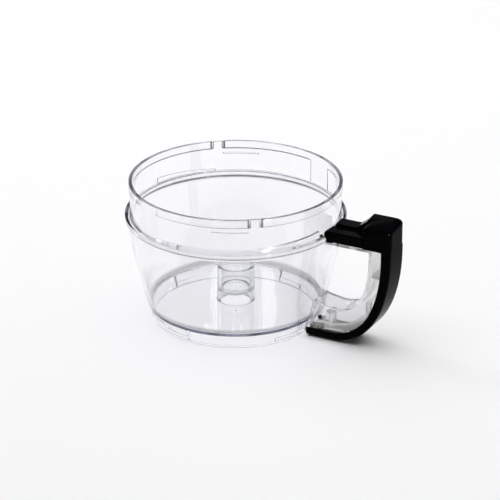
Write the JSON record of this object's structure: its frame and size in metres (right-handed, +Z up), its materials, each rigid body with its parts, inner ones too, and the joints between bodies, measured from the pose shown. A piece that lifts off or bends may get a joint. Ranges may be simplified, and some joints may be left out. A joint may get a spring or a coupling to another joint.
{
  "type": "food processor work bowl",
  "caption": "Clear tapered work bowl with open centre column, lipped collar with bayonet ribs, and a black D-handle that holds a sprung lid interlock.",
  "frame": {"origin": "middle of the footprint, at the height of the skirt's lower edge", "axes": "+Z up along the bowl, +X from the bowl towards the handle"},
  "size_m": [0.2712, 0.2086, 0.137],
  "materials": {
    "clear_bowl": "clear, polished polycarbonate with a faint violet-blue tint",
    "clear_handle": "clear moulded plastic, slightly duller than the bowl",
    "black_gloss": "gloss black moulded plastic",
    "black_satin": "satin black acetal",
    "natural": "natural, milky acetal",
    "steel": "zinc-plated steel"
  },
  "bodies": {
    "bowl": {"work_bowl": "clear_bowl", "handle_frame": "clear_handle", "handle_cover": "black_gloss", "arm_cover": "black_gloss", "rod_guide": "natural", "lever_pin": "steel", "pivot_block": "black_satin", "wall_plug": "black_satin", "foot_screw": "steel", "arm_screw_inner": "steel", "arm_screw_outer": "steel", "return_spring": "steel"},
    "rod": {"push_rod": "natural", "spring_washer": "steel"},
    "trigger": {"lid_trigger": "black_satin"},
    "lever": {"foot_lever": "natural"}
  },
  "joints": [
    {"name": "rod_slide", "type": "slide", "parent": "bowl", "child": "rod", "axis": [0, 0, -1], "range_m": [0, 0.0045], "stiffness_N_per_m": 300, "springref_m": -0.004, "deforming": ["return_spring"]},
    {"name": "trigger_slide", "type": "slide", "parent": "bowl", "child": "trigger", "axis": [1, 0, 0], "range_m": [0, 0.0045]},
    {"name": "lever_turn", "type": "hinge", "parent": "bowl", "child": "lever", "pos_m": [0.05965, -0.0013, 0.0088], "axis": [0, 1, 0], "range_deg": [0, 5.2]}
  ],
  "couplings": [
    {"joint": "trigger_slide", "follows": "rod_slide", "ratio": 1},
    {"joint": "lever_turn", "follows": "rod_slide", "rad_per_m": 20}
  ]
}
